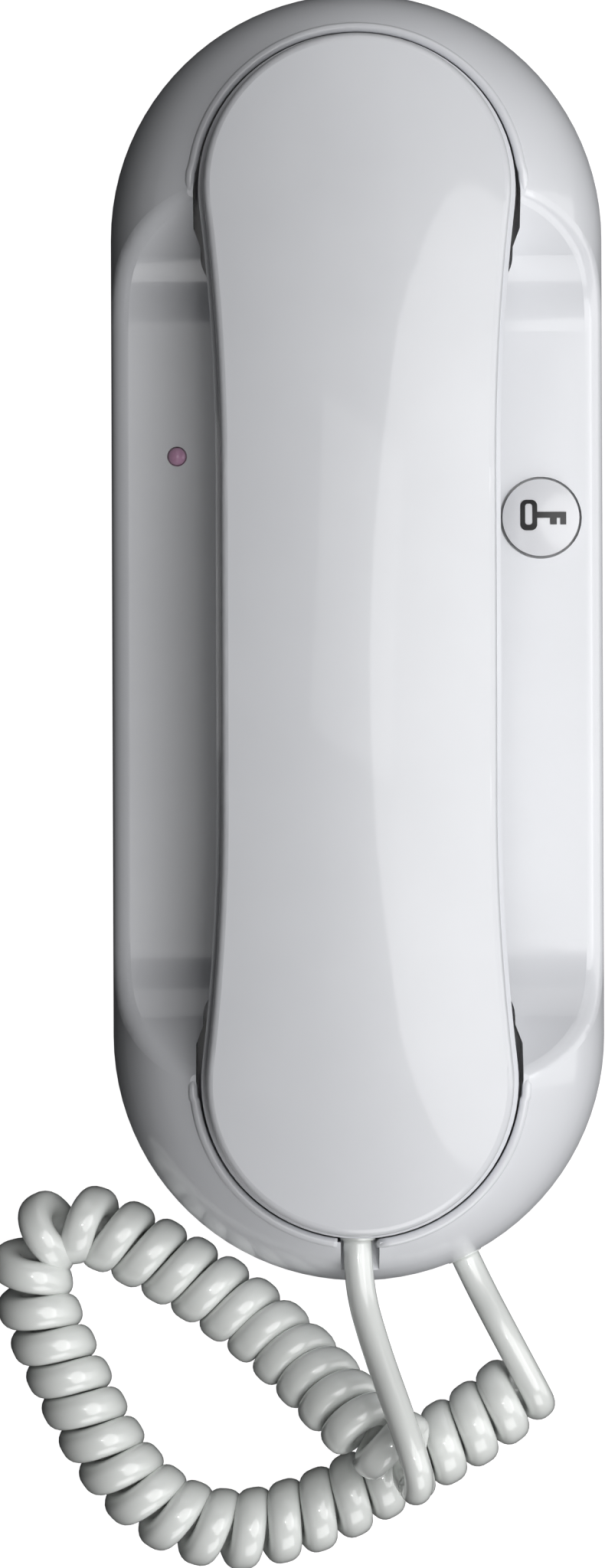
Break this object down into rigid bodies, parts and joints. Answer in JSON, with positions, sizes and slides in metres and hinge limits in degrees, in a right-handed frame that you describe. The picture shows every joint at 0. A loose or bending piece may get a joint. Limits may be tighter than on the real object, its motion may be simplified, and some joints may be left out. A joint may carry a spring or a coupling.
{
  "type": "audio intercom handset unit",
  "caption": "Wall-mounted audio intercom in white plastic with a cradled handset on a curly cord, a round key button and a small call light.",
  "frame": {"origin": "middle of the wall unit's flat back", "axes": "+Z out of the front, away from the wall; +Y up the wall, towards the ear end; +X to the right"},
  "size_m": [0.1022, 0.2642, 0.047],
  "materials": {
    "white_plastic": "cool white moulded plastic, semi-gloss",
    "plain_plastic": "plain moulded plastic",
    "dark_plastic": "dark moulded plastic",
    "terminal": "moulded terminal housing",
    "board": "lacquered glass-fibre board",
    "steel": "zinc-plated steel",
    "spring_steel": "spring steel",
    "lens": "tinted clear resin",
    "cord": "flexible sheath, soft gloss",
    "foam": "closed-cell foam",
    "rubber": "soft rubber"
  },
  "bodies": {
    "root": {"base_cover": "white_plastic", "back_plate": "white_plastic", "cover_screw": "steel", "circuit_board": "board", "board_screws": "steel", "terminal_block": "terminal", "terminal_screws": "steel", "call_sounder": "dark_plastic", "hook_switch": "dark_plastic", "hook_spring": "spring_steel", "button_switch": "dark_plastic", "button_spring": "spring_steel", "status_led": "lens", "led_spacer": "dark_plastic", "base_gland": "cord", "base_lead": "cord", "curly_cord": "cord", "handset_lead": "cord"},
    "handset": {"handset_outer_shell": "white_plastic", "handset_inner_shell": "white_plastic", "shell_screws": "steel", "earpiece": "dark_plastic", "earpiece_gasket": "foam", "microphone": "dark_plastic", "microphone_boot": "rubber", "ballast_weight": "steel", "handset_gland": "cord"},
    "plunger": {"hook_plunger": "plain_plastic"},
    "button": {"door_button": "white_plastic"}
  },
  "joints": [
    {"name": "handset_lift", "type": "slide", "parent": "root", "child": "handset", "axis": [0, 0, 1], "range_m": [0, 0.03], "deforming": ["handset_lead"]},
    {"name": "hook_travel", "type": "slide", "parent": "root", "child": "plunger", "axis": [0, 0, 1], "range_m": [0, 0.003], "deforming": ["hook_spring"]},
    {"name": "door_press", "type": "slide", "parent": "root", "child": "button", "axis": [0, 0, -1], "range_m": [0, 0.0015], "stiffness_N_per_m": 500, "springref_m": -0.001, "deforming": ["button_spring"]}
  ],
  "couplings": [
    {"joint": "hook_travel", "follows": "handset_lift", "ratio": 0.1}
  ]
}
